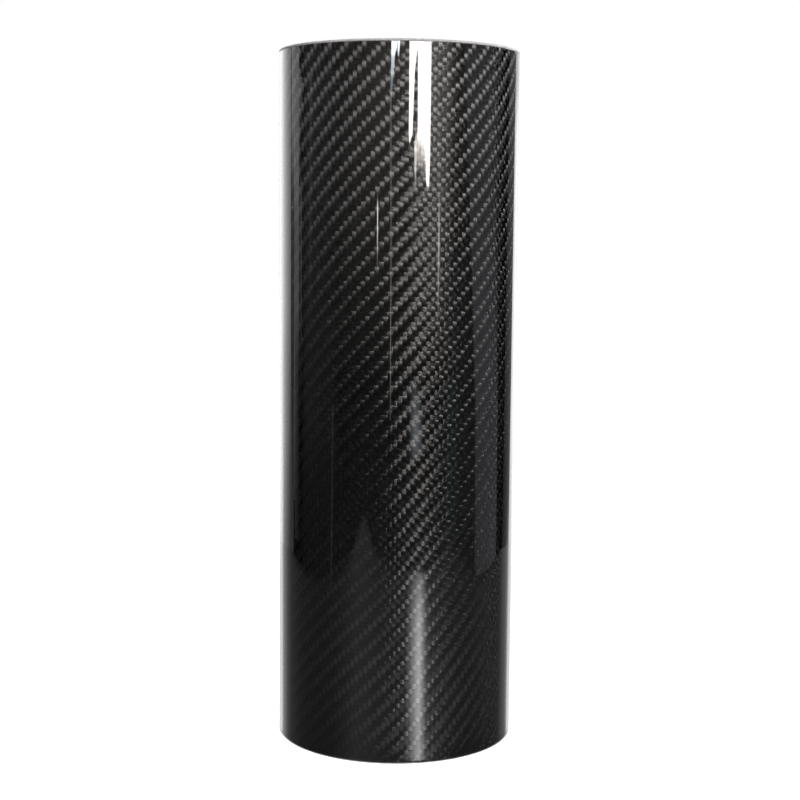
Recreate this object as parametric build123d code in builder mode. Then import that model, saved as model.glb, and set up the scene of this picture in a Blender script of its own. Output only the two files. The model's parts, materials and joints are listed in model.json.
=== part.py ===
from build123d import *
import os

# A straight round tube of roll-wrapped carbon fibre, standing on one sawn end.
# Millimetres. +Z runs up the tube's axis, and the origin is the centre of the bottom end.

# Driving dimensions
BORE_DIAMETER = 100.0  # the mandrel that the plies were rolled on
WALL = 2.0  # the cured laminate with its clear coat
LENGTH = 300.0  # from one saw cut to the other
OUTER_BEVEL = 0.5  # sanded round the outer edge of each cut
INNER_BEVEL = 0.3  # sanded round the mouth of the bore at each cut

# Sizes that follow from them
BORE_RADIUS = BORE_DIAMETER / 2
OUTER_RADIUS = BORE_RADIUS + WALL

# The ring section, drawn out to the sawn length
with BuildPart() as tube:
    with BuildSketch(Plane.XY):
        Circle(OUTER_RADIUS)
        Circle(BORE_RADIUS, mode=Mode.SUBTRACT)
    extrude(amount=LENGTH)

    # Each cut leaves one ring at the bore and one at the outside, and both are sanded back
    cut_rings = tube.edges().filter_by(GeomType.CIRCLE).group_by(SortBy.RADIUS)
    chamfer(cut_rings[0], INNER_BEVEL)
    chamfer(cut_rings[-1], OUTER_BEVEL)

tube.part.label = "tube"

os.makedirs("parts", exist_ok=True)
export_step(tube.part, "parts/tube.step")
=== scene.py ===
import json
import math
from types import SimpleNamespace

import bmesh
import bpy
from mathutils import Matrix, Vector

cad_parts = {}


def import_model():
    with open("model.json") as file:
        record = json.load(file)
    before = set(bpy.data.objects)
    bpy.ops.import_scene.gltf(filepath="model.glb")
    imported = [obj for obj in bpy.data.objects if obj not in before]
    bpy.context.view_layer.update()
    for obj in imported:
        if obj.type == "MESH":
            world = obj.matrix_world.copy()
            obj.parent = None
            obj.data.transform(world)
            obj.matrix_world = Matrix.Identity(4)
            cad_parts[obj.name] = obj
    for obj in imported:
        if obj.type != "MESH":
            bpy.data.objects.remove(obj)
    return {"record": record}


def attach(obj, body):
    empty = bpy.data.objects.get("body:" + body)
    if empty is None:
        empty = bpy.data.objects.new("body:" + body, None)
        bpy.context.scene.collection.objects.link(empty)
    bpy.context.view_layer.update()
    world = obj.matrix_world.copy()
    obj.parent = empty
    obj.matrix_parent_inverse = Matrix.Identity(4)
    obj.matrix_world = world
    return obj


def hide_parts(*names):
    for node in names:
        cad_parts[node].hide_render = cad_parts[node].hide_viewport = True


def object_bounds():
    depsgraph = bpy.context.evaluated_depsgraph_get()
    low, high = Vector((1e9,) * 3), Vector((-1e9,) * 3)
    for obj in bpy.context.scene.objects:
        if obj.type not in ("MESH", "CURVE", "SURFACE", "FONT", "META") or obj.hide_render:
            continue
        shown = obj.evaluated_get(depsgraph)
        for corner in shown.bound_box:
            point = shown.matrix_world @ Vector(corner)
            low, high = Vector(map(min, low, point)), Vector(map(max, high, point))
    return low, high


# A carbon fibre tube standing on end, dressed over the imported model.
# Metres, +Z up the tube's axis. The camera stands at -Y, and +X is to its right.
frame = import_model()
cad_low, cad_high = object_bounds()

MM = 0.001

# The tube's own sizes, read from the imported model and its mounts
MOUNT_SIZES = {mount["name"]: mount["dims"] for mount in frame["record"]["mounts"]}
LENGTH = cad_high.z - cad_low.z
OUTER_RADIUS = MOUNT_SIZES["outside"]["r_mm"] * MM
BORE_RADIUS = MOUNT_SIZES["bore"]["r_mm"] * MM
OUTER_BEVEL = (LENGTH - MOUNT_SIZES["outside"]["length_mm"] * MM) / 2
INNER_BEVEL = (LENGTH - MOUNT_SIZES["bore"]["length_mm"] * MM) / 2

# The cloth: a 2 x 2 twill, which repeats every four tows both ways
REPEAT = 4
TOWS_ROUND = 168
PICKS_ALONG = 148
FIRST_TOW = 0.88  # how far the pattern is turned round the tube, in tows
PATCH = 24  # the chances of the floats repeat after this many tows both ways

# The mesh
STEPS_PER_TOW = 2
ROWS = PICKS_ALONG // REPEAT
BEVEL_STEPS = 5
BEVEL_ROUNDNESS = 1.35  # 1 is a flat bevel and 2 a quarter round
FROST = 0.6 * MM  # how far below the top bevel the clear coat is rubbed dull
PLIES = 8
PLY_GROOVE = 0.012 * MM  # how deep the groove between two plies is
GROOVE_SIDE = 0.2  # half of that groove's width, as a share of a ply

# The texture sheet: the side of the weave's patch, and where the strips beside it lie
PATCH_SIDE = 0.74
STRIP, FOOT_STRIP, SHEET_END = 0.76, 0.88, 0.98
STRIP_WIDTH = 0.10
ROUNDING = 0.001  # keeps a row that lies on a patch's edge in the patch above

# Material slots of the mesh
WEAVE, CUT, BORE, BEVEL = range(4)


class Graph:
    """The node tree of a material or of the world. Every input is a socket or a plain value."""

    def __init__(self, owner):
        self.owner = owner
        owner.use_nodes = True
        self.tree = owner.node_tree
        self.tree.nodes.clear()

    def node(self, kind, values=None, **settings):
        made = self.tree.nodes.new("ShaderNode" + kind)
        for name, setting in settings.items():
            setattr(made, name, setting)
        for name, value in (values or {}).items():
            self.feed(made.inputs[name], value)
        return made

    def feed(self, socket, value):
        if isinstance(value, bpy.types.NodeSocket):
            self.tree.links.new(value, socket)
        else:
            socket.default_value = value

    def math(self, operation, *values, clamp=False):
        made = self.node("Math", operation=operation, use_clamp=clamp)
        for socket, value in zip(made.inputs, values):
            self.feed(socket, value)
        return made.outputs[0]

    def vector(self, operation, *values):
        made = self.node("VectorMath", operation=operation)
        for socket, value in zip(made.inputs, values):
            self.feed(socket, value)
        return made.outputs[0]

    def scaled(self, direction, amount):
        made = self.node("VectorMath", operation="SCALE")
        self.feed(made.inputs["Vector"], direction)
        self.feed(made.inputs["Scale"], amount)
        return made.outputs[0]

    def mix(self, share, low, high):
        """low where share is 0 and high where it is 1, for plain numbers."""
        made = self.node("Mix", data_type="FLOAT")
        for name, value in (("Factor", share), ("A", low), ("B", high)):
            self.feed(next(s for s in made.inputs if s.name == name and s.enabled), value)
        return next(s for s in made.outputs if s.enabled)

    def either_way(self, share, most):
        """From -most where share is 0 to most where it is 1."""
        return self.math("MULTIPLY_ADD", share, 2 * most, -most)

    def grey(self, value):
        made = self.node("CombineColor")
        for socket in made.inputs[:3]:
            self.feed(socket, value)
        return made.outputs[0]

    def finish(self, shader, output="OutputMaterial"):
        self.node(output, {"Surface": shader})
        return self.owner


def rgba(red, green, blue):
    return (red, green, blue, 1.0)


def placed(name, data):
    """A new object of the scene, which holds that mesh, lamp or camera."""
    made = bpy.data.objects.new(name, data)
    bpy.context.scene.collection.objects.link(made)
    return made


UP = (0.0, 0.0, 1.0)

# The look of the cloth under its clear coat
AXIAL_GREY = 0.047  # the tows that run up the tube
HOOP_SHADED_GREY = 0.029  # the tows wound round it: the same fibre painted darker, as painted shade for how they look darker from the side
GREY_SPREAD = 0.12  # how much the grey differs from float to float
RESIN_GREY = 0.02
AXIAL_ROUGHNESS = 0.41  # how far a glint spreads on the tows that run up the tube
HOOP_ROUGHNESS = 0.30  # and on the tows wound round it
FIBRE_EDGE = 0.10  # what is left of the fibres' gloss at a grazing angle
AXIAL_CRIMP = 0.174  # the steepest slope of a tow that runs up the tube, where it dives under the next
CRIMP_DRIFT = 0.64  # how much steeper that is at +X than in the middle, and less steep at -X
HOOP_CRIMP = 0.21  # the steepest slope of a tow wound round it
FLOAT_EVEN = 0.78  # how much of a float's slope grows evenly from its middle, and not near its ends
EVEN_DRIFT = 0.55  # how much less even that is at +X than in the middle, and more even at -X
DIVE_SHADE = 0.35  # painted shade: how far the tows that run up the tube are darkened where they dive under the next
CRIMP_SPREAD = 0.20  # how much the slope differs between the floats that run up the tube
HOOP_SPREAD = CRIMP_SPREAD / 5  # and between those wound round it
FLOAT_SKEW = 0.22  # how much sooner one side of a float dives than the other
CROWN = 0.02  # slope at the sides of a tow's rounded back
TOW_WIDTH = 0.98  # how much of its place a tow fills at the middle of a float
TOW_SQUEEZE = 0.06  # how much narrower it is at the ends of the float
TOW_EDGE = 5.0  # how sharply it gives way to resin
FIBRE_SKEW = 0.02  # how far the fibres of a float lie askew, to either side
STRAND_TILT = 0.11  # how far the strands of a tow roll the glint to either side
STRANDS = 12.0  # to a tow's width
STRAND_CHANGE = 0.3  # how much a strand changes along a float
STRAND_APART = 100.0  # how far apart in the noise the strands of different floats are taken
COAT_ROUGHNESS = 0.02
COAT_IOR = 1.5
COAT_PRINT = 0.0015  # share of the cloth's slopes that shows through the coat
COAT_WAVE = 0.0007  # slope of the coat's own gentle waves
COAT_WAVE_SCALE = 90.0

# The cut ends, the coat's rim and the bore: pairs go from the dark specks to the pale ones
CUT_GREYS = (0.05, 0.16)
CUT_ROUGHNESS = (0.45, 0.7)
CUT_GRAIN = 4000.0  # how fine the specks are
# the rim's pale greys are partly sanded frost and partly a painted highlight
RIM_FROST_AND_HIGHLIGHT_GREYS = (0.34, 0.54)
RIM_ROUGHNESS = 0.6
RIM_GLOSS = 0.25
RIM_GRAIN = 900.0
BORE_GREYS = (0.008, 0.03)
BORE_ROUGHNESS = (0.3, 0.5)
BORE_GRAIN_ROUND = 60.0
BORE_GRAIN_ALONG = 15.0  # coarser than round it, which makes streaks


def cloth_cell(g, place):
    """Where a point lies on the twill. axial is 1 on the tows that run up the tube and 0 on those
    wound round it. run goes from -1 to 1 along the float that shows, and side from -1 to 1 across
    it. chance is the float's own random number, and odd are three more."""
    turn = g.math("ARCTAN2", place["Y"], place["X"])
    across = g.math("MULTIPLY_ADD", turn, TOWS_ROUND / math.tau, FIRST_TOW)
    along = g.math("MULTIPLY", place["Z"], PICKS_ALONG / LENGTH)
    tow, pick = g.math("FLOOR", across), g.math("FLOOR", along)
    over_tow = g.math("SUBTRACT", across, tow)
    over_pick = g.math("SUBTRACT", along, pick)
    lag = g.math("SUBTRACT", tow, pick)
    step = g.math("FLOORED_MODULO", lag, float(REPEAT))
    axial = g.math("LESS_THAN", step, REPEAT / 2 - 0.5)
    axial_run = g.math("ADD", g.math("SUBTRACT", 1.0, step), over_pick)
    hoop_run = g.math("ADD", g.math("SUBTRACT", step, REPEAT / 2), over_tow)
    chance = float_chance(g, axial, tow, pick, lag)
    return SimpleNamespace(
        axial=axial,
        run=g.math("SUBTRACT", g.mix(axial, hoop_run, axial_run), 1.0),
        side=g.either_way(g.mix(axial, over_pick, over_tow), 1.0),
        chance=chance["Value"],
        odd=g.node("SeparateColor", {"Color": chance["Color"]}).outputs,
    )


def float_chance(g, axial, tow, pick, lag):
    """Random numbers of each float's own, which are the same all over it and repeat from patch to patch."""
    axial_float = g.math("FLOOR", g.math("DIVIDE", g.math("SUBTRACT", 1.0, lag), float(REPEAT)))
    hoop_float = g.math("FLOOR", g.math("DIVIDE", lag, float(REPEAT)))
    number = g.node("CombineXYZ", {
        "X": g.math("FLOORED_MODULO", g.mix(axial, hoop_float, axial_float), float(PATCH // REPEAT)),
        "Y": g.math("FLOORED_MODULO", g.mix(axial, pick, tow), float(PATCH)),
        "Z": axial,
    }).outputs[0]
    return g.node("TexWhiteNoise", {"Vector": number}, noise_dimensions="3D").outputs


def float_dive(g, cell, x):
    """The slope along the fibres, which dive at both ends of a float."""
    spread = g.mix(cell.axial, HOOP_SPREAD, CRIMP_SPREAD)
    uneven = g.math("MULTIPLY", g.either_way(cell.odd[0], 1.0), spread)
    axial_crimp = g.math("MULTIPLY_ADD", x, AXIAL_CRIMP * CRIMP_DRIFT / OUTER_RADIUS, AXIAL_CRIMP)
    crimp = g.math("MULTIPLY", g.mix(cell.axial, HOOP_CRIMP, axial_crimp), g.math("ADD", uneven, 1.0))
    sooner = g.math("MULTIPLY", cell.run, g.math("MULTIPLY", cell.side, FLOAT_SKEW))
    reach = g.math("MULTIPLY", cell.run, g.math("ADD", sooner, 1.0))
    even = g.math("MULTIPLY_ADD", x, -FLOAT_EVEN * EVEN_DRIFT / OUTER_RADIUS, FLOAT_EVEN)
    steep = g.mix(g.math("MULTIPLY", reach, reach), even, 1.0)
    return g.math("MULTIPLY", g.math("MULTIPLY", reach, steep), crimp)


def strand_roll(g, cell):
    """The slope across the fibres by which each strand of a tow rolls the glint."""
    strand = g.node("CombineXYZ", {
        "X": g.math("MULTIPLY", cell.side, STRANDS / 2),
        "Y": g.math("MULTIPLY", cell.run, STRAND_CHANGE),
        "Z": g.math("MULTIPLY", cell.chance, STRAND_APART),
    }).outputs[0]
    lean = g.node("TexNoise", {"Vector": strand, "Scale": 1.0, "Detail": 1.0}).outputs["Fac"]
    return g.either_way(lean, STRAND_TILT)


def up_and_round(g, cell, along, across):
    """Slopes along and across the fibres, turned into slopes up and round the tube."""
    return g.mix(cell.axial, across, along), g.mix(cell.axial, along, across)


def leaned(g, out, round_way, slope_up, slope_round):
    """The way out of the wall, leaned by those two slopes."""
    bent = g.vector("ADD", out, g.scaled(UP, slope_up))
    return g.vector("NORMALIZE", g.vector("ADD", bent, g.scaled(round_way, slope_round)))


def across_fibres(g, cell, round_way):
    """The way that the glint spreads, which is across the tow that shows."""
    skew = g.either_way(cell.odd[1], FIBRE_SKEW)
    hoop_way = g.vector("ADD", UP, g.scaled(round_way, skew))
    axial_way = g.vector("ADD", round_way, g.scaled(UP, skew))
    tangent = g.vector("ADD", g.scaled(axial_way, cell.axial),
                       g.scaled(hoop_way, g.math("SUBTRACT", 1.0, cell.axial)))
    return g.vector("NORMALIZE", tangent)


def cloth_colour(g, cell):
    """The tows' greys, with painted shade: the tows wound round the tube are painted darker than those that
    run up it, and those that run up it are darkened where they dive. A tow is narrower where it dives, and
    clear resin fills the corners.
    """
    squeeze = g.math("MULTIPLY", cell.run, cell.run)
    half_width = g.math("MULTIPLY_ADD", squeeze, -TOW_SQUEEZE, TOW_WIDTH)
    inside = g.math("SUBTRACT", half_width, g.math("ABSOLUTE", cell.side))
    tow_share = g.math("MULTIPLY", inside, TOW_EDGE, clamp=True)
    # the tows wound round the tube are painted darker than those that run up it: painted shade
    shade = g.math("MULTIPLY", g.mix(cell.axial, HOOP_SHADED_GREY, AXIAL_GREY),
                   g.mix(cell.odd[2], 1 - GREY_SPREAD, 1 + GREY_SPREAD))
    # painted shade: the tows that run up the tube darken towards the ends of their floats, where they dive
    painted_dive_shade = g.math("MULTIPLY", squeeze, g.math("MULTIPLY", cell.axial, DIVE_SHADE))
    shade = g.math("MULTIPLY", shade, g.math("SUBTRACT", 1.0, painted_dive_shade))
    return g.grey(g.mix(tow_share, RESIN_GREY, shade))


def coat_slopes(g, where, cloth_slopes):
    """The coat is nearly smooth, with a trace of the cloth and gentle waves of its own."""
    noise = g.node("TexNoise", {"Vector": where, "Scale": COAT_WAVE_SCALE, "Detail": 1.0})
    waves = g.node("SeparateColor", {"Color": noise.outputs["Color"]}).outputs
    return [g.math("ADD", g.math("MULTIPLY", slope, COAT_PRINT), g.either_way(wave, COAT_WAVE))
            for slope, wave in zip(cloth_slopes, waves)]


def weave_material():
    """The twill: a metallic gloss that spreads across the fibres, under a clear coat."""
    g = Graph(bpy.data.materials.new("carbon_twill"))
    where = g.node("TexCoord").outputs["Object"]
    place = g.node("SeparateXYZ", {"Vector": where}).outputs
    out = g.node("NewGeometry").outputs["Normal"]
    round_way = g.vector("NORMALIZE", g.vector("CROSS_PRODUCT", UP, out))
    cell = cloth_cell(g, place)
    dive = float_dive(g, cell, place["X"])
    crown = g.math("MULTIPLY_ADD", cell.side, CROWN, strand_roll(g, cell))
    rounding = g.math("MULTIPLY", cell.side, CROWN)
    cloth = up_and_round(g, cell, dive, crown)
    coat = coat_slopes(g, where, up_and_round(g, cell, dive, rounding))
    shader = g.node("BsdfPrincipled", {
        "Base Color": cloth_colour(g, cell),
        "Metallic": 1.0,
        "Roughness": g.mix(cell.axial, HOOP_ROUGHNESS, AXIAL_ROUGHNESS),
        "Normal": leaned(g, out, round_way, *cloth),
        "Specular Tint": rgba(FIBRE_EDGE, FIBRE_EDGE, FIBRE_EDGE),
        "Anisotropic": 1.0,
        "Tangent": across_fibres(g, cell, round_way),
        "Coat Weight": 1.0,
        "Coat Roughness": COAT_ROUGHNESS,
        "Coat IOR": COAT_IOR,
        "Coat Normal": leaned(g, out, round_way, *coat),
    })
    return g.finish(shader.outputs[0])


def cut_material():
    """The sawn and sanded laminate of both ends and of the bevels at the bore."""
    g = Graph(bpy.data.materials.new("sanded_laminate"))
    where = g.node("TexCoord").outputs["Object"]
    speck = g.node("TexNoise", {"Vector": where, "Scale": CUT_GRAIN, "Detail": 2.0}).outputs["Fac"]
    shader = g.node("BsdfPrincipled", {
        "Base Color": g.grey(g.mix(speck, *CUT_GREYS)),
        "Roughness": g.mix(speck, *CUT_ROUGHNESS),
    })
    return g.finish(shader.outputs[0])


def bevel_material():
    """The rim of the clear coat, which sanding has turned pale and dull, and whose paleness is also a
    painted highlight for the light the bevel catches. It clears below the bevel.
    """
    g = Graph(bpy.data.materials.new("frosted_rim"))
    where = g.node("TexCoord").outputs["Object"]
    place = g.node("SeparateXYZ", {"Vector": where}).outputs
    from_middle = g.math("ABSOLUTE", g.math("SUBTRACT", place["Z"], LENGTH / 2))
    from_end = g.math("SUBTRACT", LENGTH / 2, from_middle)
    clear = g.math("DIVIDE", g.math("SUBTRACT", from_end, OUTER_BEVEL), FROST, clamp=True)
    speck = g.node("TexNoise", {"Vector": where, "Scale": RIM_GRAIN, "Detail": 2.0}).outputs["Fac"]
    shader = g.node("BsdfPrincipled", {
        # pale at the bevel: partly sanded frost, partly painted highlight
        "Base Color": g.grey(g.mix(clear, g.mix(speck, *RIM_FROST_AND_HIGHLIGHT_GREYS), AXIAL_GREY)),
        "Roughness": RIM_ROUGHNESS,
        "Specular IOR Level": RIM_GLOSS,
    })
    return g.finish(shader.outputs[0])


def bore_material():
    """The bore as it came off the mandrel: satin resin with fine fibres along it."""
    g = Graph(bpy.data.materials.new("bore_resin"))
    place = g.node("SeparateXYZ", {"Vector": g.node("TexCoord").outputs["Object"]}).outputs
    turn = g.math("ARCTAN2", place["Y"], place["X"])
    streak_place = g.node("CombineXYZ", {
        "X": g.math("MULTIPLY", g.math("COSINE", turn), BORE_GRAIN_ROUND),
        "Y": g.math("MULTIPLY", g.math("SINE", turn), BORE_GRAIN_ROUND),
        "Z": g.math("MULTIPLY", place["Z"], BORE_GRAIN_ALONG),
    }).outputs[0]
    streak = g.node("TexNoise", {"Vector": streak_place, "Scale": 1.0, "Detail": 3.0}).outputs["Fac"]
    shader = g.node("BsdfPrincipled", {
        "Base Color": g.grey(g.mix(streak, *BORE_GREYS)),
        "Roughness": g.mix(streak, *BORE_ROUGHNESS),
    })
    return g.finish(shader.outputs[0])


def bevel_points(radius, height, way_out, way_up, size):
    """A softened bevel from the wall at radius to the end at height, as radius and height pairs."""
    power = 2 / BEVEL_ROUNDNESS
    points = []
    for step in range(BEVEL_STEPS + 1):
        angle = math.pi / 2 * step / BEVEL_STEPS
        fall = size * (1 - math.cos(angle) ** power)
        rise = size * (1 - math.sin(angle) ** power)
        points.append((radius - way_out * fall, height - way_up * rise))
    return points


def end_points(height, way_up):
    """The flat of one end from outside in: the plies, parted by shallow grooves."""
    outside, inside = OUTER_RADIUS - OUTER_BEVEL, BORE_RADIUS + INNER_BEVEL
    ply = (outside - inside) / PLIES
    points = []
    for number in range(1, PLIES):
        middle = outside - number * ply
        for offset, depth in ((GROOVE_SIDE, 0.0), (0.0, PLY_GROOVE), (-GROOVE_SIDE, 0.0)):
            points.append((middle + offset * ply, height - way_up * depth))
    return points


def section():
    """The wall's section as a closed ring of (radius, height, slot of the strip that follows)."""
    low, high = cad_low.z, cad_high.z
    ring = [(OUTER_RADIUS, low + OUTER_BEVEL, WEAVE)]
    ring += [(OUTER_RADIUS, low + LENGTH * row / ROWS, WEAVE) for row in range(1, ROWS)]
    ring += [(OUTER_RADIUS, high - OUTER_BEVEL - FROST, BEVEL)]
    ring += [(r, z, BEVEL) for r, z in bevel_points(OUTER_RADIUS, high, 1, 1, OUTER_BEVEL)]
    ring[-1] = (*ring[-1][:2], CUT)
    ring += [(r, z, CUT) for r, z in end_points(high, 1)]
    ring += [(r, z, CUT) for r, z in reversed(bevel_points(BORE_RADIUS, high, -1, 1, INNER_BEVEL))]
    ring[-1] = (*ring[-1][:2], BORE)
    ring += [(r, z, CUT) for r, z in bevel_points(BORE_RADIUS, low, -1, -1, INNER_BEVEL)]
    ring += [(r, z, CUT) for r, z in reversed(end_points(low, -1))]
    ring += [(r, z, BEVEL) for r, z in reversed(bevel_points(OUTER_RADIUS, low, 1, -1, OUTER_BEVEL))]
    return ring[:-1]


def sheet_places(ring, at, step):
    """Where the four corners of a face lie on the texture sheet. The weave is folded to one patch of
    the cloth, and the bore and each end have strips of their own beside it."""
    slot = ring[at][2]
    if slot == WEAVE:
        patch_steps = PATCH * STEPS_PER_TOW
        fold = step - step % patch_steps
        along = [ring[i][1] * PICKS_ALONG / LENGTH for i in (at, at + 1)]
        first = PATCH * math.floor(along[0] / PATCH + ROUNDING)
        us = [(s - fold) / patch_steps * PATCH_SIDE for s in (step, step + 1)]
        vs = [(a - first) / PATCH * PATCH_SIDE for a in along]
        return (us[0], vs[0]), (us[1], vs[0]), (us[1], vs[1]), (us[0], vs[1])
    turn = [s / (TOWS_ROUND * STEPS_PER_TOW) for s in (step, step + 1)]
    if slot == BORE:
        vs = [t * PATCH_SIDE for t in turn]
        return (STRIP, vs[0]), (STRIP, vs[1]), (SHEET_END, vs[1]), (SHEET_END, vs[0])
    bore = next(i for i, point in enumerate(ring) if point[2] == BORE)
    low, first, last = (STRIP, ROWS, bore) if at < bore else (FOOT_STRIP, bore, len(ring))
    us = [t * SHEET_END for t in turn]
    vs = [low + STRIP_WIDTH * (i - first) / (last - first) for i in (at, at + 1)]
    return (us[0], vs[0]), (us[1], vs[0]), (us[1], vs[1]), (us[0], vs[1])


def tube_mesh():
    """The section turned round the axis, so that the weave's patches end between two columns."""
    ring = section()
    steps = TOWS_ROUND * STEPS_PER_TOW
    mesh = bpy.data.meshes.new("tube_wall")
    bm = bmesh.new()
    sheet = bm.loops.layers.uv.new("OFBake")
    columns = []
    for step in range(steps):
        angle = math.tau * (step / STEPS_PER_TOW - FIRST_TOW) / TOWS_ROUND
        columns.append([bm.verts.new((r * math.cos(angle), r * math.sin(angle), z)) for r, z, _ in ring])
    for step in range(steps):
        here, there = columns[step], columns[(step + 1) % steps]
        for at, (_, _, slot) in enumerate(ring):
            after = (at + 1) % len(ring)
            face = bm.faces.new((here[at], there[at], there[after], here[after]))
            face.material_index = slot
            face.smooth = True
            for corner, place in zip(face.loops, sheet_places(ring, at, step)):
                corner[sheet].uv = place
    bm.normal_update()
    for edge in bm.edges:
        slots = {face.material_index for face in edge.link_faces}
        edge.smooth = len(slots) == 1
    bm.to_mesh(mesh)
    bm.free()
    return mesh


def tube():
    made = placed("tube_wall", tube_mesh())
    for material in (weave_material(), cut_material(), bore_material(), bevel_material()):
        made.data.materials.append(material)
    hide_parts("tube")
    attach(made, "root")


# The studio: a white floor and world, and glowing cards round the tube that only its gloss shows.
# A card's directions are in degrees from the camera's side, positive to the right.
FLOOR_HALF = 6.0  # half of its width
FLOOR_GREY = 0.5
FLOOR_GLOW = 0.9  # tops it up to white
WORLD_LIGHT = 0.3  # how bright the world is as a light
WORLD_SEEN = 1.0  # and how bright it looks
CARD_STEPS = 32  # stretches from one end of a card to the other

# How far from the tube's axis things stand
INSIDE = 0.1  # where the dark room's ceiling ends
NEAR = 0.36  # where its floor begins
PANES = 1.2  # the windows and the soft lamps
THREADS = 1.22
FRONT_WALL = 1.24
WALL = 1.25
FAR_LAMP = 3.0
FAR = 3.40  # the far end of the dark room

# Heights of the sheets that lie on the floor, a hair apart so that the higher one shows
ROOM_BASE = 0.00005
WALL_BASE = 0.00008
BASE = 0.0001
TABLE_TOP = 0.0002
ON_TABLE = 0.0003

# Directions in which things begin and end
BACKDROP_END = 165  # the outer end of both backdrops
BACKDROP_FOOT, BACKDROP_EDGE = -126.5, -124.8  # where the left one ends on the floor and on the wall

# The strips of the left edge, by where each ends
SEAM, GREY, LINE, STRIPE, GAP, POST = -121.8, -118.4, -116.4, -109.2, -107.6, -104.2

# Where the left wall begins, both ends of the windows' wall, and where the right wall begins
LEFT_WALL, FRONT_LEFT, FRONT_RIGHT, RIGHT_WALL = -103, -60, 54, 129
ROOM_LEFT, ROOM_RIGHT = -127, 147.5  # both ends of the dark room

ROOM_TOP = 3.60
WINDOW_TOP = 0.44
WINDOW = 31.0  # how bright the windows at the middle and the right are
LEFT_WINDOW = 32.0  # and those at the left

# Tints
WHITE = (1, 1, 1)
WARM = (1.0, 0.94, 0.905)
COOL = (0.92, 1.0, 1.05)
AMBER = (1.0, 0.97, 0.88)
CREAM = (1.05, 1.0, 0.94)
ROSE = (1.0, 0.93, 0.9)
TEAL = (0.45, 1.02, 1.15)
SLATE = (0.97, 0.98, 1.07)
PALE_BLUE = (0.95, 1.0, 1.06)

# The soft lamps above the windows: how bright they are by direction, and how they fade by height
SOFT_LEFT = ((-120, 0.0), (-114, 4.0), (-108, 9.0), (-92, 10.0), (-56, 13.5), (-36, 13.5), (-30, 8.0),
             (-25, 1.5), (-20, 0.0))
SOFT_MIDDLE = ((0, 0.0), (5, 9.0), (10, 54.0), (15, 118.0), (27, 122.0), (34, 93.0), (46, 58.0), (54, 30.0))
SOFT_RIGHT = ((54, 30.0), (62, 13.0), (84, 13.0), (94, 22.0), (100, 56.0), (107, 125.0), (128, 145.0),
              (135, 110.0), (141, 35.0), (147, 8.0), (152, 0.0))
SOFT_FADE = ((0.447, 0.0), (0.453, 0.06), (0.459, 0.30), (0.466, 0.85), (0.475, 1.0), (0.485, 0.80),
             (0.495, 0.32), (0.504, 0.07), (0.514, 0.0))
SOFT_LEFT_RAISE = 0.012  # how much higher the left one hangs

# How bright the table round the tube looks in the gloss, and how far out it reaches, by direction
TABLE_GLOW = ((-157, 1.6), (-149, 1.75), (-145, 0.95), (-138, 0.68), (-130, 0.36), (-122, 0.22),
              (-105, 0.14), (-80, 0.10), (-60, 0.12), (-47, 0.20), (-39, 0.30), (-27, 0.28),
              (-15, 0.20), (3, 0.15), (12, 0.20), (30, 0.22), (45, 0.17), (62, 0.12), (80, 0.11),
              (110, 0.13), (124, 0.18), (131, 0.35), (138, 0.42), (144, 0.58), (147, 1.0), (151, 1.7),
              (157, 1.5))
TABLE_REACH = ((-180, 0.45), (-120, 0.43), (-95, 0.385), (-75, 0.385), (-58, 0.40), (-42, 0.48),
               (-31, 0.62), (-26, 0.58), (-21, 0.49), (-5, 0.43), (18, 0.415), (38, 0.44), (52, 0.50),
               (62, 0.49), (72, 0.43), (86, 0.38), (105, 0.40), (125, 0.44), (180, 0.45))

# Where it starts to darken, as a share of its reach, and how much is left at the edge, by direction
TABLE_EDGE = 0.92
TABLE_EDGE_GLOW = ((-130, 1.0), (-114, 0.40), (112, 0.40), (130, 1.0))
TABLE_RINGS = (OUTER_RADIUS + MM, 0.06, 0.075, 0.1, 0.15, 0.25)  # how far out its inner points lie

TABLE_TURN = 157  # how far round to either side its front sheet goes

# The table behind the tube reaches farther in the directions past BACK_TURN
BACK_GLOW = 1.3
BACK_REACH, BACK_SIDE_REACH, BACK_TURN = 0.45, 0.3, 150

# The light that falls through the windows onto the table, painted as a glowing sheet that only the gloss
# shows and that lights nothing: across, and along
FLOOR_LIGHT = 23.2  # its direction
FLOOR_LIGHT_ACROSS = ((-13, 0.03), (-9, 0.18), (-5, 0.5), (-3, 0.72), (0, 1.0), (2, 0.75), (4, 0.47),
                      (6, 0.18), (9, 0.05), (13, 0.03))
FLOOR_LIGHT_ALONG = ((0.055, 6.0), (0.09, 6.5), (0.14, 8.0), (0.21, 8.5), (0.294, 7.8), (0.36, 5.0),
                     (0.41, 2.5), (0.42, 0.3))

# The lamp overhead, which lights the floor and the cloth and isn't seen in the gloss
CEILING_SIZE = 0.8
CEILING_HEIGHT = 1.3
CEILING_GLOW = 1.2


def looked_at(g):
    """1 where the camera looks, also by way of a gloss, and 0 for light that falls on things."""
    path = g.node("LightPath").outputs
    return g.math("MAXIMUM", path["Is Camera Ray"],
                  g.math("MAXIMUM", path["Is Glossy Ray"], path["Is Transmission Ray"]))


def floor_material():
    g = Graph(bpy.data.materials.new("pale_floor"))
    paint = g.node("BsdfDiffuse", {"Color": rgba(FLOOR_GREY, FLOOR_GREY, FLOOR_GREY)})
    strength = g.math("MULTIPLY", looked_at(g), FLOOR_GLOW)
    glow = g.node("Emission", {"Color": rgba(*WHITE), "Strength": strength})
    both = g.node("AddShader")
    g.feed(both.inputs[0], paint.outputs[0])
    g.feed(both.inputs[1], glow.outputs[0])
    return g.finish(both.outputs[0])


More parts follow.
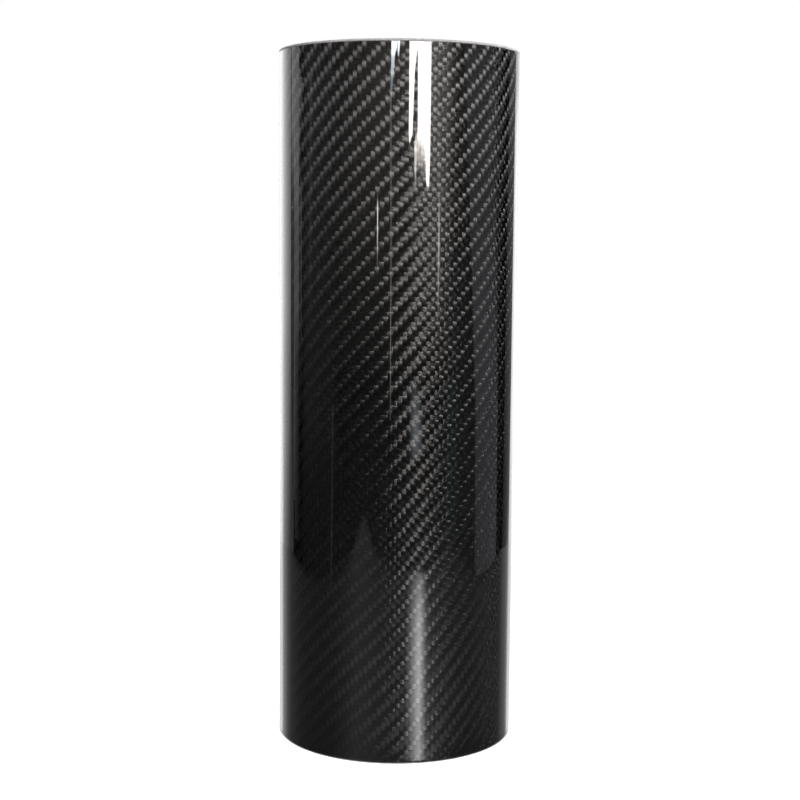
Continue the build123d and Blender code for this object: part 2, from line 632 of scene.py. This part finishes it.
def floor():
    """A pale floor, topped up to the white of the background, which keeps the tube's shadow."""
    mesh = bpy.data.meshes.new("floor")
    half, z = FLOOR_HALF, cad_low.z
    corners = [(-half, -half, z), (half, -half, z), (half, half, z), (-half, half, z)]
    mesh.from_pydata(corners, [], [(0, 1, 2, 3)])
    mesh.materials.append(floor_material())
    made = placed("floor", mesh)


def world():
    """White as far as the camera sees, and dimmer as a light."""
    g = Graph(bpy.data.worlds.new("white_studio"))
    strength = g.mix(looked_at(g), WORLD_LIGHT, WORLD_SEEN)
    back = g.node("Background", {"Color": rgba(*WHITE), "Strength": strength})
    made = g.finish(back.outputs[0], "OutputWorld")
    made.cycles.sampling_method = "NONE"
    bpy.context.scene.world = made


def round_the_tube(azimuth, distance, height):
    """A point at that compass angle from the camera's side, positive to the right."""
    a = math.radians(azimuth)
    return Vector((distance * math.sin(a), -distance * math.cos(a), height))


def mirrored(direction, distance, height):
    """The point at that distance from the axis which the wall mirrors to the camera from a compass
    direction. The ray leaves the wall, and not the axis, so the two angles differ close to the tube."""
    offset = math.asin(OUTER_RADIUS * math.sin(math.radians(direction / 2)) / distance)
    return round_the_tube(direction - math.degrees(offset), distance, height)


def between(stops, direction):
    """The value in a direction, from stops of direction and value in rising order."""
    for (a, low), (b, high) in zip(stops, stops[1:]):
        if a <= direction <= b:
            return low + (high - low) * (direction - a) / (b - a)
    return stops[0][1] if direction < stops[0][0] else stops[-1][1]


def glow_material(lamp):
    """What the sheets are made of. Each point states its own glow, and a lamp's is sampled as a light."""
    name = "lamp_glow" if lamp else "card_glow"
    if name in bpy.data.materials:
        return bpy.data.materials[name]
    g = Graph(bpy.data.materials.new(name))
    level = g.node("Attribute", attribute_type="GEOMETRY", attribute_name="glow")
    made = g.finish(g.node("Emission", {"Color": level.outputs["Color"]}).outputs[0])
    made.cycles.emission_sampling = "FRONT_BACK" if lamp else "NONE"
    return made


def glow_sheet(name, grid, lamp=False):
    """A glowing sheet that the camera doesn't see, through rows of points with their colours."""
    mesh = bpy.data.meshes.new(name)
    bm = bmesh.new()
    glow = bm.verts.layers.float_color.new("glow")
    lines = []
    for row in grid:
        line = []
        for place, colour in row:
            vert = bm.verts.new(place)
            vert[glow] = colour
            line.append(vert)
        lines.append(line)
    for low, high in zip(lines, lines[1:]):
        for corners in zip(low, low[1:], high[1:], high):
            bm.faces.new(corners)
    bm.to_mesh(mesh)
    bm.free()
    mesh.materials.append(glow_material(lamp))
    made = placed(name, mesh)
    made.visible_camera = False
    made.visible_shadow = False
    made.visible_diffuse = lamp


def card(name, rows, tint=WHITE, lamp=False):
    """A sheet hung round the tube. Each row, from the nearest or lowest up, gives its distance from
    the axis, its height, the directions of its two ends and its glow, one value or stops."""
    grid = []
    for distance, height, left, right, glow in rows:
        line = []
        for step in range(CARD_STEPS + 1):
            direction = left + (right - left) * step / CARD_STEPS
            level = between(glow, direction) if isinstance(glow, tuple) else glow
            line.append((mirrored(direction, distance, height), rgba(*(level * part for part in tint))))
        grid.append(line)
    glow_sheet(name, grid, lamp)


def straight(left, right, levels):
    """Rows of distance, height and glow whose ends stay in the same two directions."""
    return [(distance, height, left, right, glow) for distance, height, glow in levels]


def upright(distance, levels):
    """Rows of height, ends and glow which all stand at the same distance."""
    return [(distance, *level) for level in levels]


def glow_at(directions, *values):
    """Stops for a row's glow: a value in each of those directions."""
    return tuple(zip(directions, values))


def row_by_stops(distance, height, stops, level):
    """A row that reaches from the first stop to the last and glows by them, times a level."""
    return distance, height, stops[0][0], stops[-1][0], tuple((a, level * value) for a, value in stops)


def table_sheet(name, directions, place, level, reach, height):
    """One sheet of the table top, from close round the tube to its reach in each direction."""
    spokes = []
    for direction in directions:
        end = reach(direction)
        spoke = []
        for distance in (*TABLE_RINGS, TABLE_EDGE * end, end):
            left = between(TABLE_EDGE_GLOW, direction) if distance == end else 1.0
            spoke.append((place(direction, distance, height), rgba(*[level(direction) * left] * 3)))
        spokes.append(spoke)
    glow_sheet(name, zip(*spokes))


def back_reach(azimuth):
    return BACK_REACH if abs(azimuth) > BACK_TURN else BACK_SIDE_REACH


def table():
    """The white table top that the gloss shows: the part near the tube, which ends at a dark room."""
    table_sheet("table_behind", range(-180, 181, 5), round_the_tube, lambda azimuth: BACK_GLOW,
                back_reach, cad_low.z + BASE)
    table_sheet("table_front", range(-TABLE_TURN, TABLE_TURN + 1, 2), mirrored,
                lambda direction: between(TABLE_GLOW, direction),
                lambda direction: between(TABLE_REACH, direction), cad_low.z + TABLE_TOP)


def dark_room():
    card("dark_room", straight(ROOM_LEFT, ROOM_RIGHT, [
        (NEAR, ROOM_BASE, 0.018),
        (FAR, ROOM_BASE, 0.018),
        (FAR, ROOM_TOP, 0.03),
        (INSIDE, ROOM_TOP, 0.03),
    ]))


def backdrops():
    """The white sheets beyond both edges of the tube. The left one darkens towards the front."""
    across = (-158, -149, -144, -127)
    card("backdrop_left", [
        (NEAR, BASE, -BACKDROP_END, BACKDROP_FOOT, glow_at(across, 1.5, 1.85, 0.95, 0.30)),
        (0.48, BASE, -BACKDROP_END, BACKDROP_FOOT, glow_at(across, 1.8, 2.1, 1.05, 0.33)),
        (0.64, BASE, -BACKDROP_END, BACKDROP_FOOT, glow_at(across, 1.9, 2.3, 1.28, 0.42)),
        (0.83, BASE, -BACKDROP_END, BACKDROP_FOOT, glow_at(across, 2.0, 2.45, 1.50, 0.50)),
        (1.05, BASE, -BACKDROP_END, BACKDROP_FOOT, glow_at(across, 2.1, 2.55, 1.7, 0.66)),
        (WALL, 0.036, -BACKDROP_END, BACKDROP_EDGE, glow_at(across, 2.0, 2.5, 1.8, 0.80)),
        (WALL, 0.082, -BACKDROP_END, BACKDROP_EDGE, glow_at(across, 2.1, 2.6, 1.95, 0.98)),
        (WALL, 0.127, -BACKDROP_END, BACKDROP_EDGE, glow_at(across, 2.2, 2.7, 2.3, 1.15)),
        (WALL, 0.60, -BACKDROP_END, BACKDROP_EDGE, glow_at(across, 2.2, 2.8, 2.45, 1.15)),
    ])
    card("backdrop_right", straight(ROOM_RIGHT, BACKDROP_END, [
        (NEAR, BASE, ((147, 1.3), (151, 1.8), (158, 1.5))),
        (WALL, BASE, 2.2),
        (WALL, 0.27, 2.3),
        (WALL, 0.34, 2.1),
        (WALL, 0.40, 1.3),
        (WALL, 1.30, 1.1),
    ]))


def left_greys():
    """The seam in front of the left backdrop, and the grey strip beside it."""
    card("left_seam", [
        (NEAR, BASE, BACKDROP_FOOT, SEAM, 0.26),
        (0.64, BASE, BACKDROP_FOOT, SEAM, 0.30),
        (1.05, BASE, BACKDROP_FOOT, SEAM, ((BACKDROP_FOOT, 0.6), (-124, 0.36), (-122, 0.22))),
        (WALL, 0.036, BACKDROP_EDGE, SEAM, 0.20),
        (WALL, 0.27, BACKDROP_EDGE, SEAM, 0.22),
        (WALL, 0.31, -125.6, -122.6, 0.45),
        (WALL, 0.60, -126.2, -123.8, 0.50),
    ])
    card("left_grey", [
        (NEAR, BASE, SEAM, GREY, 0.24),
        (0.48, BASE, SEAM, GREY, 0.22),
        (1.05, BASE, SEAM, GREY, 0.20),
        (WALL, 0.036, SEAM, GREY, 0.17),
        (WALL, 0.22, SEAM, GREY, 0.25),
        (WALL, 0.267, SEAM, GREY, 0.38),
        (WALL, 0.313, -122.4, GREY, 0.80),
        (WALL, 0.358, -123.6, GREY, 1.15),
        (WALL, 0.60, -123.8, GREY, 1.35),
    ])


def left_strips():
    """A thin bright line, and a strip that darkens towards the front low down."""
    card("left_line", straight(GREY, LINE, [
        (0.64, BASE, 0.22),
        (1.05, BASE, 0.40),
        (WALL, 0.082, 0.57),
        (WALL, 0.22, 0.50),
        (WALL, 0.267, 0.80),
        (WALL, 0.313, 1.15),
        (WALL, 0.60, 1.30),
    ]))
    sides = (LINE, STRIPE)
    card("left_strip", straight(LINE, STRIPE, [
        (0.48, BASE, glow_at(sides, 0.16, 0.05)),
        (1.05, BASE, glow_at(sides, 0.32, 0.08)),
        (WALL, 0.060, glow_at(sides, 0.36, 0.14)),
        (WALL, 0.100, glow_at(sides, 0.50, 0.40)),
        (WALL, 0.130, 0.64),
        (WALL, 0.22, 0.72),
        (WALL, 0.267, 0.98),
        (WALL, 0.60, 1.20),
    ]))


def left_post():
    """A dark gap and a post, just before the dim wall begins."""
    card("left_gap", straight(STRIPE, GAP, [
        (0.48, BASE, 0.04),
        (WALL, BASE, 0.03),
        (WALL, 0.30, 0.16),
        (WALL, 0.36, 0.40),
        (WALL, 0.40, 1.2),
    ]))
    card("left_post", straight(GAP, POST, [
        (WALL, BASE, 0.045),
        (WALL, 0.082, 0.10),
        (WALL, 0.127, 0.25),
        (WALL, 0.267, 0.46),
        (WALL, 0.29, 0.06),
        (WALL, 0.33, 0.06),
        (WALL, 0.36, 0.28),
        (WALL, 0.40, 0.9),
    ]))


def left_wall():
    """The dim wall from the strips round to the windows' wall, darkest beside the strips."""
    card("left_wall", straight(LEFT_WALL, FRONT_LEFT, [
        (NEAR, WALL_BASE, 0.03),
        (WALL, BASE, ((LEFT_WALL, 0.05), (-97, 0.11), (FRONT_LEFT, 0.07))),
        (WALL, 0.60, ((LEFT_WALL, 0.09), (-96, 0.11), (FRONT_LEFT, 0.06))),
    ]))


def front_walls():
    """The wall that the windows stand in, and two paler stretches to its left."""
    across = (FRONT_LEFT, -36, -17, 10, 30, 46, FRONT_RIGHT)
    low_across = (FRONT_LEFT, -17, 10, 30, 46, FRONT_RIGHT)
    card("window_wall", straight(FRONT_LEFT, FRONT_RIGHT, [
        (FRONT_WALL, 0.05, 0.03),
        (FRONT_WALL, 0.13, glow_at(low_across, 0.06, 0.10, 0.06, 0.20, 0.18, 0.04)),
        (FRONT_WALL, 0.22, glow_at(across, 0.05, 0.14, 0.18, 0.09, 0.40, 0.36, 0.04)),
        (FRONT_WALL, 0.32, glow_at(across, 0.05, 0.20, 0.32, 0.20, 0.80, 0.64, 0.05)),
        (FRONT_WALL, 0.42, glow_at(across, 0.05, 0.20, 0.42, 0.45, 1.00, 0.80, 0.06)),
        (FRONT_WALL, 0.60, glow_at(across, 0.05, 0.20, 0.42, 0.45, 1.00, 0.80, 0.06)),
    ]), tint=CREAM)
    card("left_stripe", upright(THREADS, [
        (0.10, -93.6, -90.4, 0.12),
        (0.22, -93.6, -90.4, 0.24),
        (0.31, -93.2, -90.6, 0.30),
        (0.40, -92.8, -90.0, 0.58),
    ]))
    card("pale_column", upright(WALL, [
        (0.10, -32.7, -14.3, 0.03),
        (0.14, -39, -20.4, 0.22),
        (0.24, -41, -26.6, 0.36),
        (0.30, -42, -32.7, 0.24),
    ]))


def right_side():
    """What stands right of the windows: a low dim panel, a leaning grey card and a dim wall."""
    card("teal_panel", [
        (NEAR, BASE, 48, 59, 0.07),
        (WALL, BASE, 48.5, 60, 0.10),
        (WALL, 0.12, 47.5, 59, 0.07),
        (WALL, 0.18, 47.5, 59, 0.03),
    ], tint=TEAL)
    card("grey_card", [
        (NEAR, BASE, 84, 116, 0.30),
        (WALL, BASE, 81.6, 115, ((81, 0.42), (115, 0.26))),
        (WALL, 0.13, 76.5, 111, ((76, 0.49), (94, 0.40), (111, 0.20))),
        (WALL, 0.27, 70.4, 107, ((70, 0.36), (90, 0.27), (107, 0.13))),
        (WALL, 0.46, 62.3, 103, ((62, 0.34), (80, 0.28), (90, 0.16), (103, 0.07))),
    ], tint=SLATE)
    card("right_wall", straight(RIGHT_WALL, ROOM_RIGHT, [
        (NEAR, BASE, ((RIGHT_WALL, 0.10), (137, 0.16), (ROOM_RIGHT, 0.7))),
        (0.64, BASE, ((RIGHT_WALL, 0.10), (137, 0.17), (ROOM_RIGHT, 0.35))),
        (WALL, BASE, ((RIGHT_WALL, 0.12), (137, 0.20), (ROOM_RIGHT, 0.28))),
        (WALL, 0.60, ((RIGHT_WALL, 0.18), (133, 0.28), (ROOM_RIGHT, 0.22))),
    ]))


def threads():
    """Thin bright lines: one across the floor, and three upright ones under and beside the windows."""
    card("left_cable", [
        (NEAR, ON_TABLE, -65.3, -64.5, 0.45),
        (WALL, ON_TABLE, -64.4, -63.6, 0.55),
        (THREADS, 0.02, -64.0, -63.4, 0.30),
    ])
    card("thread_right", upright(THREADS, [
        (0.10, 38.6, 39.4, 0.4),
        (0.125, 38.4, 39.4, 1.6),
        (0.16, 38.2, 39.5, 4.0),
        (0.20, 38.0, 39.6, 7.0),
        (0.235, 38.0, 39.6, 5.5),
        (0.27, 38.0, 39.6, 1.5),
        (0.35, 37.8, 39.4, 0.8),
        (0.60, 37.6, 39.4, 0.5),
    ]))
    card("thread_middle", upright(THREADS, [
        (0.00, -6.3, -5.7, 1.6),
        (0.08, -6.5, -5.9, 4.2),
        (0.22, -6.9, -6.2, 3.6),
        (0.37, -8.0, -7.2, 4.0),
    ]), tint=ROSE)
    card("thread_left", upright(THREADS, [
        (0.165, -19.5, -18.9, 0.4),
        (0.19, -19.5, -18.8, 3.0),
        (0.21, -19.6, -18.8, 13.0),
        (0.245, -19.7, -18.8, 20.0),
        (0.252, -19.7, -18.9, 12.0),
        (0.257, -19.7, -18.9, 1.5),
        (0.27, -19.7, -19.1, 0.8),
    ]))


def blue_glow():
    card("blue_glow", [
        (0.90, BASE, 12, 24, 0.1),
        (1.00, BASE, 12, 25, ((12, 0.1), (18, 2.1), (25, 0.2))),
        (1.20, BASE, 12, 25, ((12, 0.1), (18, 2.3), (25, 0.2))),
        (THREADS, 0.03, 12, 24, ((12, 0.1), (17, 1.0), (24, 0.1))),
        (THREADS, 0.05, 12, 22, 0.1),
    ], tint=PALE_BLUE)


def room():
    """The dark room in front of the tube, and what stands in it."""
    dark_room()
    backdrops()
    left_greys()
    left_strips()
    left_post()
    left_wall()
    front_walls()
    right_side()
    threads()
    blue_glow()


def pane(name, levels, tint):
    """A bright window, from the bottom up: height, directions of both ends, glow."""
    card(name, upright(PANES, levels), tint=tint, lamp=True)


def left_windows():
    pane("window_left", [
        (0.362, -8.2, -7.2, 2.5),
        (0.390, -8.0, -5.8, 5.0),
        (0.400, -7.8, -5.0, 11.0),
        (0.415, -7.5, -4.4, 16.0),
        (0.425, -7.4, -2.7, LEFT_WINDOW),
        (WINDOW_TOP, -7.4, -2.0, LEFT_WINDOW),
    ], COOL)
    pane("slit_left", [
        (0.416, -1.4, -0.6, 20.0),
        (0.430, -2.0, 0.3, LEFT_WINDOW),
        (WINDOW_TOP, -2.0, 0.6, LEFT_WINDOW),
    ], COOL)


def right_windows():
    pane("window_middle", [
        (0.320, 9.6, 10.4, WINDOW),
        (0.330, 9.2, 12.6, WINDOW),
        (0.400, 9.2, 14.3, WINDOW),
        (0.415, 9.2, 15.6, WINDOW),
        (0.424, 9.2, 16.8, WINDOW),
        (WINDOW_TOP, 9.2, 16.8, WINDOW),
    ], WARM)
    pane("window_right", [
        (0.271, 26.3, 28.6, WINDOW),
        (0.282, 25.6, 28.9, WINDOW),
        (0.304, 24.9, 29.3, WINDOW),
        (0.318, 24.2, 29.4, WINDOW),
        (0.325, 22.6, 29.4, WINDOW),
        (0.331, 17.5, 29.5, WINDOW),
        (0.415, 17.1, 29.6, WINDOW),
        (0.424, 16.8, 29.6, WINDOW),
        (WINDOW_TOP, 16.8, 29.6, WINDOW),
    ], WARM)


def window_frays():
    """The dimmer light under the middle window and under the left part of the right one."""
    pane("window_streak", [
        (0.272, 15.2, 15.7, 3.0),
        (0.285, 15.0, 16.3, 12.0),
        (0.315, 14.4, 17.0, 18.0),
        (0.330, 15.3, 17.0, 8.0),
    ], AMBER)
    pane("window_fade", [
        (0.286, 18.0, 24.8, ((18, 1.0), (20, 0.5), (21, 1.5), (23, 0.8), (24.8, 3.0))),
        (0.300, 16.8, 24.6, ((16.8, 5.0), (18, 7.0), (20.5, 5.0), (22, 10.0), (23, 5.0), (24.6, 14.0))),
        (0.318, 16.8, 24.4, ((16.8, 10.0), (18.5, 19.0), (20, 12.0), (21.5, 22.0), (24.4, 27.0))),
        (0.331, 17.0, 22.8, 34.0),
    ], WARM)


def soft_lamp(name, stops, tint=WHITE, distance=PANES, lift=0.0):
    """A lamp above the windows, which fades towards its edges. Farther out than they stand, it is
    raised so that it looks as high above the rim from the tube."""
    rows = []
    for height, share in SOFT_FADE:
        above = (height + lift - LENGTH) * (distance - OUTER_RADIUS) / (PANES - OUTER_RADIUS)
        rows.append(row_by_stops(distance, LENGTH + above, stops, share))
    card(name, rows, tint=tint, lamp=True)


def soft_lamps():
    soft_lamp("soft_left", SOFT_LEFT, lift=SOFT_LEFT_RAISE)
    soft_lamp("soft_middle", SOFT_MIDDLE, tint=WARM)
    soft_lamp("soft_right", SOFT_RIGHT, distance=FAR_LAMP)


# painted light: a glowing sheet laid on the table where the window light pools, which only the gloss shows
def painted_floor_light():
    stops = tuple((FLOOR_LIGHT + offset, share) for offset, share in FLOOR_LIGHT_ACROSS)
    rows = [row_by_stops(distance, ON_TABLE, stops, glow) for distance, glow in FLOOR_LIGHT_ALONG]
    card("painted_floor_light", rows)


def ceiling():
    data = bpy.data.lights.new("ceiling", "AREA")
    data.shape = "SQUARE"
    data.size = CEILING_SIZE
    data.energy = CEILING_GLOW * math.pi * CEILING_SIZE * CEILING_SIZE
    made = placed("ceiling", data)
    made.location = (0, 0, CEILING_HEIGHT)
    made.visible_camera = False
    made.visible_glossy = False


def windows():
    """Tall panes, slits and lamps beyond the camera, which light the cloth and show in the gloss."""
    left_windows()
    right_windows()
    window_frays()
    soft_lamps()
    painted_floor_light()
    ceiling()


def studio():
    world()
    floor()
    table()
    room()
    windows()


# The photograph's camera: its lens and sensor in millimetres, and its turns in radians
LENS = 70.13
SENSOR = 36.0
CAMERA_PLACE = (0.0, -0.68738, 0.22497)
YAW, PITCH, ROLL = 0.0021, 0.1107, 0.0082
CLIP_START, CLIP_END = 0.01, 50.0


def camera():
    """A long lens a little below the rim, tipped slightly down."""
    data = bpy.data.cameras.new("camera")
    data.lens = LENS
    data.sensor_width = SENSOR
    data.clip_start = CLIP_START
    data.clip_end = CLIP_END
    made = placed("camera", data)
    made.location = CAMERA_PLACE
    forward = Vector((math.sin(YAW) * math.cos(PITCH), math.cos(YAW) * math.cos(PITCH), -math.sin(PITCH)))
    level = forward.cross(Vector(UP)).normalized()
    upwards = level.cross(forward)
    right = level * math.cos(ROLL) + upwards * math.sin(ROLL)
    above = upwards * math.cos(ROLL) - level * math.sin(ROLL)
    made.rotation_euler = Matrix((right, above, -forward)).transposed().to_euler()
    bpy.context.scene.camera = made


tube()
studio()
camera()
bpy.context.scene.view_settings.view_transform = "Standard"
